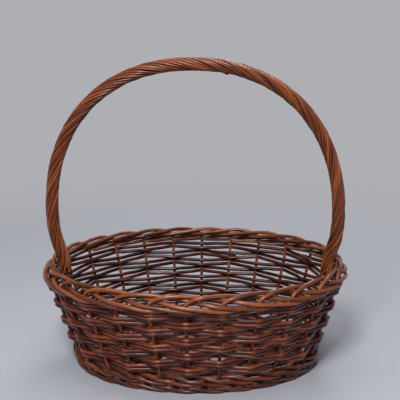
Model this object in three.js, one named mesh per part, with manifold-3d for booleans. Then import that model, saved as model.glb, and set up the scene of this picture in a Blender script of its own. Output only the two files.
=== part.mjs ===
// Oval willow basket with a roped bow handle: base, woven wall, rolled border and handle.
// Millimetres, +Z up, long axis along X, front at -Y, resting on z = 0.
import * as THREE from 'three';
import Module from 'manifold-3d';

const wasm = await Module();
wasm.setup();

// Overall shape of the wall: an oval that opens out from the base to the border
const STAKES = 24;
const BASE_HALF_LENGTH = 172;
const BASE_HALF_WIDTH = 114;
const RIM_HALF_LENGTH = 214;
const RIM_HALF_WIDTH = 161;
const BORDER_Z = 139;
const GAP = 0.35;

// Rods
const STAKE_R = 2.5;
const STAKE_BENDS = [
  // height, reach outwards from the line of the wall
  [9, -5.0],
  [9.9, -1.6],
  [13, 0],
  [BORDER_Z - 4, 0],
];
const BORDER_ROD_R = 2.8;
const BORDER_TAIL_R = 2.2;
const STAKE_SIDES = 5;
const TAIL_R = 2.1;

// Woven rows: each row is a pair of rods worked as one, in front of one stake and behind the next
const ROWS = 8;
const ROW_FIRST_Z = 37.5;
const ROW_PITCH = 12.95;
const ROW_HALF_THICK = 2.5;
const ROW_HALF_HIGH = 5.5;
const ROW_WAIST = 4.1;
const ROW_REACH = STAKE_R + ROW_HALF_THICK + GAP;
const BEND_U = 0.1;

// Three-rod wale at the foot of the wall, two rounds
const WALE_R = 2.2;
const WALE_SIDES = 5;
const WALE_REST_Z = WALE_R * Math.cos(Math.PI / WALE_SIDES);
const WALE_ROUNDS = [
  { low: WALE_REST_Z, high: 7.5, inside: 13.9, goingIn: [5.0, 8.0], comingOut: [12.6, 12.2] },
  { low: 12.8, high: 19.0, inside: 20.2, goingIn: [17.0, 19.5], comingOut: [22.4, 23.4] },
];
const WALE_SLACK = 0.3;
const WALE_REACH = STAKE_R + WALE_R + GAP + WALE_SLACK;
const WALE_SAG = 0.3;
const WALE_CROSSING = { shares: [0.38, 0.62], reachIn: [0.2, -3.5], reachOut: [-2.6, 0] };

// Base: two long sticks threaded through four pierced cross sticks, woven round with two ribbons
const BASE_Z = 9;
const STICK_R = 3;
const STICK_SIDES = 6;
const STICK_SHARES = [0, 0.25, 0.5, 0.75, 1];
const LONG_STICK_Y = 8;
const CROSS_STICK_X = [54, 18, -18, -54];
const SLATH_HALF_LENGTH = 82;
const SLATH_HALF_WIDTH = 28.5;
const BASE_EDGE_INSET = 13;
const PIERCED_HALF_LENGTH = 12.5;
const PIERCED_HALF_WIDE = 4;
const PIERCED_HALF_HIGH = 5;
const SLOT_HALF_LENGTH = LONG_STICK_Y + STICK_R + GAP;
const RIBBON_HALF_WIDE = 3.95;
const RIBBON_HALF_THICK = 1.7;
const RIBBON_LIFT = STICK_R + RIBBON_HALF_THICK + GAP;
const RIBBON_CROSSINGS = [53, 48];
const RIBBON_ADVANCE = 0.235;
const RIBBON_FLAT = 0.22;

// Handle: a thick bow inside the wall at both ends, roped with twisted strands
const CORE_R = 4.4;
const CORE_SIDES = 6;
const STRANDS = 9;
const STRAND_R = 2.15;
const STRAND_SIDES = 4;
const STRAND_CENTRE_R = 7.6;
const STRAND_PITCH = 145;
const STRAND_FOOT_Z = 131;
const STRAND_SAMPLES = 48;
const ARCH_HALF_SPAN = 208;
const ARCH_SPRING_Z = 222;
const ARCH_RISE = 217.5;
const ARCH_POWER = 2.2;
const LEG_REACH = STAKE_R + CORE_R + 2 * GAP;
const LEG_FOOT_Z = 25.2;
const LEG_TIED_ROWS = [1, 3];
const LEG_ROW_BENDS = [
  // row, reach further in than at the foot
  [1, 0],
  [2.2, 0],
  [3, 0],
  [3.5, 0.5],
  [4, 2.6],
  [4.5, 5.2],
  [5.6, 8],
  [7, 10.8],
];
const LEG_RIM_BENDS = [
  // height over the border line, reach further in than at the foot
  [2, 12.6],
  [13, 12.4],
];
const ARCH_BENDS = [
  // height under the spring of the arch, reach in from its half span
  [60, 11.5],
  [44, 6],
  [28, 2.2],
];
const ARCH_SHARES = [0, 0.1, 0.22, 0.36, 0.5, 0.64, 0.78, 0.9];
const CORE_SAMPLES = 54;
const LINE_SAMPLES = 800;
const LEG_TIE_REACH = LEG_REACH + CORE_R + ROW_HALF_THICK + 5 * GAP;

const COLOURS = {
  stake: { color: 0x5a2a22, roughness: 0.45, metalness: 0 },
  row: { color: 0x4e2423, roughness: 0.42, metalness: 0 },
  wale: { color: 0x5c2a20, roughness: 0.42, metalness: 0 },
  base: { color: 0x4a231f, roughness: 0.5, metalness: 0 },
  handle: { color: 0x9a4c28, roughness: 0.38, metalness: 0 },
};

const basket = new THREE.Group();
basket.name = 'oval_basket';
const groups = {};
for (const name of ['base', 'stakes', 'rows', 'wale', 'handle']) {
  groups[name] = new THREE.Group();
  groups[name].name = name;
  basket.add(groups[name]);
}

// Arc length round the middle of the wall: u counts stake spacings, u = 0 at the +X end
const MID_A = (BASE_HALF_LENGTH + RIM_HALF_LENGTH) / 2;
const MID_B = (BASE_HALF_WIDTH + RIM_HALF_WIDTH) / 2;
const ARC_STEPS = 1440;
const arcTable = [0];
for (let i = 1; i <= ARC_STEPS; i += 1) {
  const middle = ((i - 0.5) / ARC_STEPS) * 2 * Math.PI;
  const speed = Math.hypot(MID_A * Math.sin(middle), MID_B * Math.cos(middle));
  arcTable.push(arcTable[i - 1] + speed);
}

function angleAt(u) {
  const lap = Math.floor(u / STAKES);
  const target = ((u - lap * STAKES) / STAKES) * arcTable[ARC_STEPS];
  let low = 0;
  let high = ARC_STEPS;
  while (high - low > 1) {
    const mid = (low + high) >> 1;
    if (arcTable[mid] <= target) low = mid;
    else high = mid;
  }
  const part = (target - arcTable[low]) / (arcTable[high] - arcTable[low]);
  return ((low + part) / ARC_STEPS + lap) * 2 * Math.PI;
}

function wallHalfLength(z) {
  const share = Math.min(z, BORDER_Z) / BORDER_Z;
  return BASE_HALF_LENGTH + (RIM_HALF_LENGTH - BASE_HALF_LENGTH) * share;
}

function wallHalfWidth(z) {
  const share = Math.min(z, BORDER_Z) / BORDER_Z;
  return BASE_HALF_WIDTH + (RIM_HALF_WIDTH - BASE_HALF_WIDTH) * share;
}

function outward(angle) {
  return new THREE.Vector3(Math.cos(angle) / MID_A, Math.sin(angle) / MID_B, 0).normalize();
}

// A point beside the wall: u along it, z up it, reach outwards from the line of the stakes
function wallPoint(u, z, reach) {
  const angle = angleAt(u);
  const point = new THREE.Vector3(wallHalfLength(z) * Math.cos(angle), wallHalfWidth(z) * Math.sin(angle), z);
  return point.addScaledVector(outward(angle), reach);
}

// Loop of points round such a point, its section leaning with the wall
function wallLoop(u, z, reach, section) {
  return section.map(([across, up]) => wallPoint(u, z + up, reach + across));
}

// Solid from a list of loops of points, closed on itself or capped at both ends
function loftSolid(loops, closed) {
  const sides = loops[0].length;
  const positions = [];
  for (const loop of loops) {
    for (const p of loop) positions.push(p.x, p.y, p.z);
  }
  const index = [];
  const spans = closed ? loops.length : loops.length - 1;
  for (let i = 0; i < spans; i += 1) {
    const here = i * sides;
    const next = ((i + 1) % loops.length) * sides;
    for (let j = 0; j < sides; j += 1) {
      const k = (j + 1) % sides;
      index.push(here + j, here + k, next + k, here + j, next + k, next + j);
    }
  }
  if (!closed) {
    const last = (loops.length - 1) * sides;
    for (let j = 1; j < sides - 1; j += 1) {
      index.push(0, j + 1, j, last, last + j, last + j + 1);
    }
  }
  const geometry = new THREE.BufferGeometry();
  geometry.setAttribute('position', new THREE.Float32BufferAttribute(positions, 3));
  if (enclosedVolume(positions, index) < 0) index.reverse();
  geometry.setIndex(index);
  return geometry;
}

function enclosedVolume(positions, index) {
  const a = new THREE.Vector3();
  const b = new THREE.Vector3();
  const c = new THREE.Vector3();
  let six = 0;
  for (let i = 0; i < index.length; i += 3) {
    a.fromArray(positions, index[i] * 3);
    b.fromArray(positions, index[i + 1] * 3);
    c.fromArray(positions, index[i + 2] * 3);
    six += a.dot(b.clone().cross(c));
  }
  return six / 6;
}

function ringAround(centre, across, up, radius, sides, turn) {
  const loop = [];
  for (let j = 0; j < sides; j += 1) {
    const angle = turn + (j / sides) * 2 * Math.PI;
    loop.push(
      centre.clone().addScaledVector(across, radius * Math.cos(angle)).addScaledVector(up, radius * Math.sin(angle)),
    );
  }
  return loop;
}

const STEEP = 0.9;

// Round rod along a list of points, its section carried along without twisting
function rodSolid(points, radii, sides) {
  const loops = [];
  let across = null;
  for (let i = 0; i < points.length; i += 1) {
    const before = points[Math.max(i - 1, 0)];
    const after = points[Math.min(i + 1, points.length - 1)];
    const incoming = points[i].clone().sub(before).normalize();
    const leaving = after.clone().sub(points[i]).normalize();
    const tangent = incoming.add(leaving).normalize();
    if (across === null) {
      across = Math.abs(tangent.z) < STEEP ? new THREE.Vector3(0, 0, 1) : new THREE.Vector3(1, 0, 0);
    }
    across = across.clone().addScaledVector(tangent, -across.dot(tangent)).normalize();
    const up = tangent.clone().cross(across);
    loops.push(ringAround(points[i], across, up, radii[i], sides, 0));
  }
  return loftSolid(loops, false);
}

function addPiece(group, name, geometry, look) {
  const mesh = new THREE.Mesh(geometry, new THREE.MeshStandardMaterial(COLOURS[look]));
  mesh.name = name;
  groups[group].add(mesh);
}

function numbered(stem, number) {
  return `${stem}_${String(number).padStart(2, '0')}`;
}

// Ends of the base sticks. Each sits between two stakes at the edge and at its own place on the slath
function stickEnd(u, slathX, slathY) {
  return {
    slathAngle: Math.atan2(slathY / SLATH_HALF_WIDTH, slathX / SLATH_HALF_LENGTH),
    edgeAngle: angleAt(u),
  };
}

function crossStickY(x) {
  return SLATH_HALF_WIDTH * Math.sqrt(1 - (x / SLATH_HALF_LENGTH) ** 2);
}

function longStickX(y) {
  return SLATH_HALF_LENGTH * Math.sqrt(1 - (y / SLATH_HALF_WIDTH) ** 2);
}

const rightX = longStickX(LONG_STICK_Y);
const stickEnds = [
  stickEnd(0.5, rightX, LONG_STICK_Y),
  ...CROSS_STICK_X.map((x, i) => stickEnd(2.5 + 2 * i, x, crossStickY(x))),
  stickEnd(10.5, -rightX, LONG_STICK_Y),
  stickEnd(12.5, -rightX, -LONG_STICK_Y),
  ...[...CROSS_STICK_X].reverse().map((x, i) => stickEnd(14.5 + 2 * i, x, -crossStickY(x))),
  stickEnd(22.5, rightX, -LONG_STICK_Y),
];
for (const end of stickEnds) {
  while (end.edgeAngle - end.slathAngle > Math.PI) end.slathAngle += 2 * Math.PI;
}

// A point of the base: q = 0 round the slath, q = 1 at the edge
function basePoint(q, angle, z) {
  const halfLength = SLATH_HALF_LENGTH + (BASE_HALF_LENGTH - BASE_EDGE_INSET - SLATH_HALF_LENGTH) * q;
  const halfWidth = SLATH_HALF_WIDTH + (BASE_HALF_WIDTH - BASE_EDGE_INSET - SLATH_HALF_WIDTH) * q;
  return new THREE.Vector3(halfLength * Math.cos(angle), halfWidth * Math.sin(angle), z);
}

function stickAngle(end, q) {
  return end.slathAngle + (end.edgeAngle - end.slathAngle) * q;
}

function stickOutline(end) {
  return STICK_SHARES.map((q) => basePoint(q, stickAngle(end, q), BASE_Z));
}

// Long sticks run straight through the slath and fan out past it
function addLongStick(number, leftEnd, rightEnd) {
  const points = [...stickOutline(leftEnd).reverse(), ...stickOutline(rightEnd)];
  addPiece('base', numbered('base_stick_long', number), rodSolid(points, points.map(() => STICK_R), STICK_SIDES), 'base');
}

function toManifold(geometry) {
  const plain = geometry.index ? geometry : geometry.clone();
  return new wasm.Manifold(
    new wasm.Mesh({
      numProp: 3,
      vertProperties: new Float32Array(plain.attributes.position.array),
      triVerts: new Uint32Array(plain.index.array),
    }),
  );
}

function fromManifold(solid) {
  const mesh = solid.getMesh();
  const geometry = new THREE.BufferGeometry();
  geometry.setAttribute('position', new THREE.Float32BufferAttribute(mesh.vertProperties, 3));
  geometry.setIndex([...mesh.triVerts]);
  return geometry;
}

function boxSolid(centre, half) {
  const loops = [-1, 1].map((sx) => [
    [-1, -1],
    [1, -1],
    [1, 1],
    [-1, 1],
  ].map(([sy, sz]) => new THREE.Vector3(centre.x + sx * half.x, centre.y + sy * half.y, centre.z + sz * half.z)));
  return loftSolid(loops, false);
}

// Cross sticks are thick where they are split, with a slot that the long sticks pass through
function addCrossStick(number, topEnd, lowEnd, x) {
  const points = [...stickOutline(lowEnd).reverse(), ...stickOutline(topEnd)];
  const rod = toManifold(rodSolid(points, points.map(() => STICK_R), STICK_SIDES));
  const middle = new THREE.Vector3(x, 0, BASE_Z);
  const thick = boxSolid(middle, new THREE.Vector3(PIERCED_HALF_WIDE, PIERCED_HALF_LENGTH, PIERCED_HALF_HIGH));
  const slot = boxSolid(middle, new THREE.Vector3(PIERCED_HALF_WIDE * 2, SLOT_HALF_LENGTH, STICK_R + GAP));
  const solid = rod.add(toManifold(thick)).subtract(toManifold(slot));
  addPiece('base', numbered('base_stick_cross', number), fromManifold(solid), 'base');
}

addLongStick(1, stickEnds[5], stickEnds[0]);
addLongStick(2, stickEnds[6], stickEnds[11]);
CROSS_STICK_X.forEach((x, i) => {
  addCrossStick(i + 1, stickEnds[1 + i], stickEnds[10 - i], x);
});

// Woven base: two ribbons wind outwards together, each over the sticks that the other goes under
function addBaseRibbon(number, firstQ, firstLift, crossings) {
  const count = stickEnds.length;
  const loops = [];
  for (let c = 0; c < crossings; c += 1) {
    const lap = Math.floor(c / count);
    const end = stickEnds[c % count];
    const nextEnd = stickEnds[(c + 1) % count];
    const nextLap = Math.floor((c + 1) / count);
    const lift = firstLift * (c % 2 === 0 ? 1 : -1) * RIBBON_LIFT;
    for (const share of [RIBBON_FLAT, 1 - RIBBON_FLAT]) {
      const q = firstQ + (RIBBON_ADVANCE * (c + share)) / count;
      const from = stickAngle(end, q) + lap * 2 * Math.PI;
      const to = stickAngle(nextEnd, q) + nextLap * 2 * Math.PI;
      const angle = from + (to - from) * share;
      const level = share < 0.5 ? lift : -lift;
      const centre = basePoint(q, angle, BASE_Z + level);
      const side = outward(angle);
      const up = new THREE.Vector3(0, 0, 1);
      loops.push([
        centre.clone().addScaledVector(side, RIBBON_HALF_WIDE).addScaledVector(up, -RIBBON_HALF_THICK),
        centre.clone().addScaledVector(side, RIBBON_HALF_WIDE).addScaledVector(up, RIBBON_HALF_THICK),
        centre.clone().addScaledVector(side, -RIBBON_HALF_WIDE).addScaledVector(up, RIBBON_HALF_THICK),
        centre.clone().addScaledVector(side, -RIBBON_HALF_WIDE).addScaledVector(up, -RIBBON_HALF_THICK),
      ]);
    }
  }
  addPiece('base', numbered('base_weave', number), loftSolid(loops, false), 'base');
}

addBaseRibbon(1, 0, 1, RIBBON_CROSSINGS[0]);
addBaseRibbon(2, RIBBON_ADVANCE / 2, -1, RIBBON_CROSSINGS[1]);

// Path of a stake past its bend at the border: steps along, reach outwards and height over BORDER_Z.
// It passes behind two stakes and in front of the next two, and ends inside
const BORDER_PATH = [
  [0, 0, 4.0, BORDER_ROD_R],
  [0.05, 0, 8.0, BORDER_ROD_R],
  [0.15, 0.2, 11.2, BORDER_ROD_R],
  [0.33, 0.2, 14.6, BORDER_ROD_R],
  [0.58, -1.2, 16.7, BORDER_ROD_R],
  [0.85, -3.4, 17.0, BORDER_ROD_R],
  [1.15, -5.5, 15.8, BORDER_ROD_R],
  [1.5, -6.8, 13.4, BORDER_ROD_R],
  [1.8, -6.9, 11.4, BORDER_ROD_R],
  [2.07, -6.4, 9.4, BORDER_ROD_R],
  [2.32, -2.6, 7.9, BORDER_ROD_R],
  [2.55, 2.4, 7.3, BORDER_ROD_R],
  [2.8, 5.6, 5.6, BORDER_ROD_R],
  [3.05, 6.3, 3.8, BORDER_ROD_R],
  [3.35, 6.4, 2.4, BORDER_ROD_R],
  [3.65, 6.4, 0.4, BORDER_ROD_R],
  [4, 6.1, -2.0, BORDER_ROD_R],
  [4.25, 3.4, -2.2, BORDER_ROD_R],
  [4.5, 0, -1.9, 2.6],
  [4.75, -4.2, -1.2, 2.4],
  [4.95, -6.2, -0.2, BORDER_TAIL_R],
];
const TAIL_Q = 0.72;
const TAIL_SIDE = STICK_R + STAKE_R + GAP;

function addStake(k) {
  const end = stickEnds[Math.floor(k / 2)];
  const side = k % 2 === 0 ? -1 : 1;
  const inner = basePoint(TAIL_Q, stickAngle(end, TAIL_Q), BASE_Z);
  const along = outward(stickAngle(end, TAIL_Q));
  const sideways = new THREE.Vector3(-along.y, along.x, 0);
  const points = [inner.addScaledVector(sideways, side * TAIL_SIDE)];
  const radii = [TAIL_R];
  for (const [z, reach] of STAKE_BENDS) {
    points.push(wallPoint(k, z, reach));
    radii.push(STAKE_R);
  }
  for (const [step, reach, rise, radius] of BORDER_PATH) {
    points.push(wallPoint(k + step, BORDER_Z + rise, reach));
    radii.push(radius);
  }
  addPiece('stakes', numbered('stake', k + 1), rodSolid(points, radii, STAKE_SIDES), 'stake');
}

for (let k = 0; k < STAKES; k += 1) addStake(k);

// Woven rows
function isOutside(row, stake) {
  return (row + stake) % 2 === 0;
}

function rowReach(row, stake) {
  if (isOutside(row, stake)) return ROW_REACH;
  const atLeg = stake % (STAKES / 2) === 0;
  return atLeg && LEG_TIED_ROWS.includes(row) ? -LEG_TIE_REACH : -ROW_REACH;
}

const rowSection = [
  [0, ROW_HALF_HIGH],
  [ROW_HALF_THICK, ROW_WAIST],
  [ROW_HALF_THICK, -ROW_WAIST],
  [0, -ROW_HALF_HIGH],
  [-ROW_HALF_THICK, -ROW_WAIST],
  [-ROW_HALF_THICK, ROW_WAIST],
];

function addRow(row) {
  const z = ROW_FIRST_Z + ROW_PITCH * row;
  const loops = [];
  for (let k = 0; k < STAKES; k += 1) {
    for (const u of [k - BEND_U, k + BEND_U]) {
      loops.push(wallLoop(u, z, rowReach(row, k), rowSection));
    }
  }
  addPiece('rows', numbered('row', row + 1), loftSolid(loops, true), 'row');
}

for (let row = 0; row < ROWS; row += 1) addRow(row);

// Wale: every rod goes behind one stake, then in front of two, rising over its neighbours as it comes out
const waleSection = [];
for (let j = 0; j < WALE_SIDES; j += 1) {
  const turn = Math.PI / 2 + (j / WALE_SIDES) * 2 * Math.PI;
  waleSection.push([WALE_R * Math.cos(turn), WALE_R * Math.sin(turn)]);
}

function addWaleRod(round, rod) {
  const levels = WALE_ROUNDS[round];
  const loops = [];
  const section = (u, z, reach) => loops.push(wallLoop(u, z, reach, waleSection));
  for (let k = 0; k < STAKES; k += 1) {
    const place = (k + rod) % 3;
    if (place === 0) {
      section(k, levels.inside, -WALE_REACH);
      WALE_CROSSING.shares.forEach((share, i) => {
        section(k + share, levels.comingOut[i], WALE_CROSSING.reachOut[i]);
      });
    } else if (place === 1) {
      section(k, levels.high, WALE_REACH);
      section(k + 0.5, levels.high - WALE_SAG, WALE_REACH);
    } else {
      section(k - BEND_U, levels.low, WALE_REACH);
      section(k + BEND_U, levels.low, WALE_REACH);
      WALE_CROSSING.shares.forEach((share, i) => {
        section(k + share, levels.goingIn[i], WALE_CROSSING.reachIn[i]);
      });
    }
  }
  addPiece('wale', numbered('wale_rod', round * 3 + rod + 1), loftSolid(loops, true), 'wale');
}

for (let round = 0; round < WALE_ROUNDS.length; round += 1) {
  for (let rod = 0; rod < 3; rod += 1) addWaleRod(round, rod);
}

// Centre line of the handle from the foot of its right leg to the top, mirrored for the left side
function archPoint(share) {
  const angle = share * (Math.PI / 2);
  const x = ARCH_HALF_SPAN * Math.cos(angle) ** (2 / ARCH_POWER);
  const z = ARCH_SPRING_Z + ARCH_RISE * Math.sin(angle) ** (2 / ARCH_POWER);
  return new THREE.Vector3(x, 0, z);
}

function legPoint(z, reach) {
  return new THREE.Vector3(wallHalfLength(z) - reach, 0, z);
}

const rightSide = [
  legPoint(LEG_FOOT_Z, LEG_REACH),
  ...LEG_ROW_BENDS.map(([row, inward]) => legPoint(ROW_FIRST_Z + ROW_PITCH * row, LEG_REACH + inward)),
  ...LEG_RIM_BENDS.map(([above, inward]) => legPoint(BORDER_Z + above, LEG_REACH + inward)),
  ...ARCH_BENDS.map(([under, inward]) => new THREE.Vector3(ARCH_HALF_SPAN - inward, 0, ARCH_SPRING_Z - under)),
  ...ARCH_SHARES.map(archPoint),
];
const leftSide = rightSide.map((p) => new THREE.Vector3(-p.x, 0, p.z));
const handleLine = new THREE.CatmullRomCurve3(
  [...leftSide, archPoint(1), ...rightSide.reverse()],
  false,
  'centripetal',
);
handleLine.arcLengthDivisions = LINE_SAMPLES;

const corePoints = handleLine.getSpacedPoints(CORE_SAMPLES);
corePoints[0].z = LEG_FOOT_Z;
corePoints[CORE_SAMPLES].z = LEG_FOOT_Z;
addPiece('handle', 'handle_core', rodSolid(corePoints, corePoints.map(() => CORE_R), CORE_SIDES), 'handle');

const HALVINGS = 40;

// Share of the handle's length at which its leg reaches a height, found by halving
function shareAtHeight(z) {
  let low = 0;
  let high = 0.5;
  for (let i = 0; i < HALVINGS; i += 1) {
    const mid = (low + high) / 2;
    if (handleLine.getPointAt(mid).z < z) low = mid;
    else high = mid;
  }
  return low;
}

const strandStart = shareAtHeight(STRAND_FOOT_Z);
const handleLength = handleLine.getLength();

function addStrand(number) {
  const front = new THREE.Vector3(0, -1, 0);
  const points = [];
  for (let i = 0; i <= STRAND_SAMPLES; i += 1) {
    const share = strandStart + ((1 - 2 * strandStart) * i) / STRAND_SAMPLES;
    const tangent = handleLine.getTangentAt(share);
    const outer = front.clone().cross(tangent).normalize();
    if (outer.dot(handleLine.getPointAt(share).sub(new THREE.Vector3(0, 0, ARCH_SPRING_Z))) < 0) outer.negate();
    const turn = (number / STRANDS + (share * handleLength) / STRAND_PITCH) * 2 * Math.PI;
    const centre = handleLine.getPointAt(share);
    centre.addScaledVector(outer, STRAND_CENTRE_R * Math.cos(turn));
    centre.addScaledVector(front, STRAND_CENTRE_R * Math.sin(turn));
    points.push(centre);
  }
  const radii = points.map(() => STRAND_R);
  addPiece('handle', numbered('handle_strand', number), rodSolid(points, radii, STRAND_SIDES), 'handle');
}

for (let number = 1; number <= STRANDS; number += 1) addStrand(number);

export default basket;
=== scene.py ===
# Oval willow basket with a roped bow handle, dressed for its picture
from collections import namedtuple
import math
import random

import bmesh
import bpy
import numpy as np
from mathutils import Matrix, Vector


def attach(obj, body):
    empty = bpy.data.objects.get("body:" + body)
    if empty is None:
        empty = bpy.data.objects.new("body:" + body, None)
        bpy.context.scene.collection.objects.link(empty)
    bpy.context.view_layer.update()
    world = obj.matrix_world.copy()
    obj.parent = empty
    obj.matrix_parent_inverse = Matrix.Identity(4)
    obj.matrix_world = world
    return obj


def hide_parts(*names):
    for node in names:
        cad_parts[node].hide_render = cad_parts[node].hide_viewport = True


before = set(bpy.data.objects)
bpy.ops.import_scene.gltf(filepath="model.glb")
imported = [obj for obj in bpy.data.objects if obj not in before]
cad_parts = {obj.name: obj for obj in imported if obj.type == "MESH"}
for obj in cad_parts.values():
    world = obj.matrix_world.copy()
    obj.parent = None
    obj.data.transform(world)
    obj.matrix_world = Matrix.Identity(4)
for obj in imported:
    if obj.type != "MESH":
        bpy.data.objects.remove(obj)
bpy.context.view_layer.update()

MM = 0.001
FULL_TURN = 2 * math.pi

# Wall of the basket, in millimetres: an oval that opens out from the base to the border
STAKES = 24
BASE_HALF_LENGTH = 172
BASE_HALF_WIDTH = 114
RIM_HALF_LENGTH = 214
RIM_HALF_WIDTH = 161
BORDER_Z = 139
GAP = 0.35
# Steps in which the oval is measured, so that the stakes stand evenly along it
ARC_STEPS = 1440

# Stakes and the border that they roll into
STAKE_R = 2.35
STAKE_TAIL_R = 2.0
BORDER_ROD_R = 2.85
STAKE_STEP = 2.2
STAKE_BLUR_POINTS = 1.2
STAKE_SEED = 100
STAKE_BENDS = [
    # height, reach outwards
    (9, -5.0),
    (9.9, -1.6),
    (13, 0),
    (45, 0),
    (90, 0),
    (BORDER_Z - 4, 0),
]
# The first of these bends are at the foot, with straight runs between them
FOOT_BENDS = 3
# Each stake rolls over behind two others and in front of the next two, and ends inside
BORDER_PATH = [
    # stake spacings along, reach outwards, height over the border line, radius
    (0, 0, 4.0, BORDER_ROD_R),
    (0.05, 0, 8.0, BORDER_ROD_R),
    (0.15, 0.2, 11.2, BORDER_ROD_R),
    (0.33, 0.2, 14.6, BORDER_ROD_R),
    (0.58, -1.2, 16.7, BORDER_ROD_R),
    (0.85, -3.4, 17.0, BORDER_ROD_R),
    (1.15, -5.5, 15.8, BORDER_ROD_R),
    (1.5, -6.8, 13.4, BORDER_ROD_R),
    (1.8, -6.9, 11.4, BORDER_ROD_R),
    (2.07, -6.4, 9.4, BORDER_ROD_R),
    (2.32, -2.6, 7.9, BORDER_ROD_R),
    (2.55, 2.4, 7.3, BORDER_ROD_R),
    (2.8, 5.6, 5.6, BORDER_ROD_R),
    (3.05, 6.3, 3.8, BORDER_ROD_R),
    (3.35, 6.4, 2.4, BORDER_ROD_R),
    (3.65, 6.4, 0.4, 2.8),
    (4, 6.1, -2.0, 2.8),
    (4.25, 3.4, -2.2, 2.7),
    (4.5, 0, -1.9, 2.6),
    (4.75, -4.2, -1.2, 2.4),
    (4.95, -6.2, -0.2, 2.2),
]
BORDER_CURVE_STEPS = 8

# Woven rows: two rods side by side, in front of one stake and behind the next
ROWS = 8
ROW_FIRST_Z = 37.5
ROW_PITCH = 12.95
ROW_ROD_R = 2.72
ROW_LIFT_OUTSIDE = 2.85
ROW_LIFT_INSIDE = 3.5
ROW_REACH = 5.3
ROW_UNEVENNESS = 0.7
ROW_STEP = 2.2
ROW_BLUR = 1.6
ROW_LEVEL_SEED = 77
ROW_SEED = 200
# Stake spacings: half of a bend's length, and how far the two lapped ends of a rod run on
ROW_BEND = 0.028
ROW_LAP_BEFORE = 0.25
ROW_LAP_AFTER = 0.28
# How far the lapped end of a row or wale rod stands inwards, beside its other end
LAP_SIDE = 4.8

# Wale at the foot of the wall: three rods a round, each outside two stakes and inside the third
WALE_RODS = 3
WALE_R = 2.75
WALE_ROUNDS = [
    {"low": 3.05, "high": 8.5, "inside": 13.9, "going_in": (3.9, 7.2), "coming_out": (12.4, 11.6)},
    {"low": 14.0, "high": 20.0, "inside": 21.4, "going_in": (17.2, 20.0), "coming_out": (23.2, 23.2)},
]
WALE_REACH = 5.35
WALE_GOING_IN_REACH = (0.2, -3.5)
WALE_COMING_OUT_REACH = (-2.6, 0)
WALE_STEP = 2.6
WALE_BLUR = 2.4
WALE_SEED = 300
WALE_FIRST_STARTS = (3, 7)
# Stake spacings: where a rod crosses between two stakes, lies low outside, and laps over its start
WALE_CROSSING = (0.38, 0.62)
WALE_LOW_STRETCH = (-0.12, 0.1)
WALE_LAP = 0.3
# Between the two stakes outside, a rod falls: stake spacings along, and millimetres off its levels
WALE_FALL_START = 0.3
WALE_FALL_END = 0.7
WALE_UNDER_HIGH = 0.2
WALE_OVER_LOW = 0.9

# Base sticks: two long ones through four cross ones, which are split in the middle
BASE_Z = 9
STICK_R = 3
LONG_STICK_Y = 8
CROSS_STICK_X = (54, 18, -18, -54)
SLATH_HALF_LENGTH = 82
SLATH_HALF_WIDTH = 28.5
BASE_EDGE_INSET = 13
STICK_SHARES = (0, 0.25, 0.5, 0.75, 1)
STICK_STEP = 4.0
STICK_BLUR_POINTS = 1.5
LONG_STICK_ENDS = [(5, 0), (6, 11)]
LONG_STICK_SEED = 400
CROSS_STICK_SEED = 410
SPLIT_SWELL = 1.9
SPLIT_HALF_LENGTH = 14
SPLIT_STARTS = 1.25
SLOT_LENGTH = 30
# Where the tail of each stake lies beside its stick
TAIL_Q = 0.72
TAIL_SIDE = 5.85

# Pairs of thin rods wound round the base
BASE_ROD_R = 1.75
BASE_ROD_APART = 1.95
BASE_LIFT = 5.05
BASE_ADVANCE = 0.235
BASE_FLAT = 0.22
BASE_WEAVES = [
    # start outwards from the slath, side of the first stick that it passes, crossings
    (0, 1, 53),
    (BASE_ADVANCE / 2, -1, 48),
]
BASE_ROD_STEP = 3.6
BASE_ROD_BLUR = 4.5
BASE_ROD_SEED = 500

# Handle: a bow inside the wall at both ends
BOW_R = 4.4
BOW_SEED = 600
HANDLE_STEP = 3.5
HANDLE_CURVE_STEPS = 24
ARCH_HALF_SPAN = 208
ARCH_SPRING_Z = 222
ARCH_RISE = 217.5
ARCH_POWER = 2.2
ARCH_SHARES = (0, 0.1, 0.22, 0.36, 0.5, 0.64, 0.78, 0.9)
ARCH_BENDS = [
    # depth under the spring of the arch, reach inwards from its half span
    (60, 11.5),
    (44, 6),
    (28, 2.2),
]
LEG_REACH = 7.6
LEG_FOOT_Z = 25.2
LEG_TIED_ROWS = (1, 3)
LEG_TIE_REACH = 16.3
# Row or height over the border line, and reach further in than at the foot
LEG_ROW_BENDS = [(1, 0), (2.2, 0), (3, 0), (3.5, 0.5), (4, 2.6), (4.5, 5.2), (5.6, 8), (7, 10.8)]
LEG_RIM_BENDS = [(2, 12.6), (13, 12.4)]

# Rods twisted round the bow, one of them in two lengths that meet under the top
ROPE_RODS = 13
ROPE_ROD_R = 1.84
ROPE_THICKNESS = (0.93, 1.08)
ROPE_CENTRE_R = 7.55
ROPE_PITCH = 145
ROPE_FOOT_Z = 131
ROPE_SWAYS = [
    # radians round the bow, length of the wave along it
    (0.05, 170),
    (0.03, 67),
]
ROPE_LIFT = 0.25
ROPE_LIFT_LENGTH = 113
ROPE_SPLAY = (0.2, 1.4)
ROPE_SPLAY_LENGTH = 14
ROPE_END_SHIFTS = (-1, 3)
ROPE_SEED = 610
ROPE_END_SEED = 630
TIP_X = 52
TIP_SPLAY = 2.2
CAD_STRANDS = 9
FRONT = Vector((0, -1, 0))

# A rod's own unevenness: lengths in millimetres along it, swellings as shares of its radius
WANDER_LENGTHS = (31, 53, 97)
SWELLING = 0.012
SWELLING_LENGTHS = (23, 61, 140)
SCAR_SWELLING = 0.085
SCAR_LENGTH = 2.2
SCAR_FIRST = (10, 50)
SCAR_SPACING = (38, 80)
STEADY_END = 12

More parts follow.
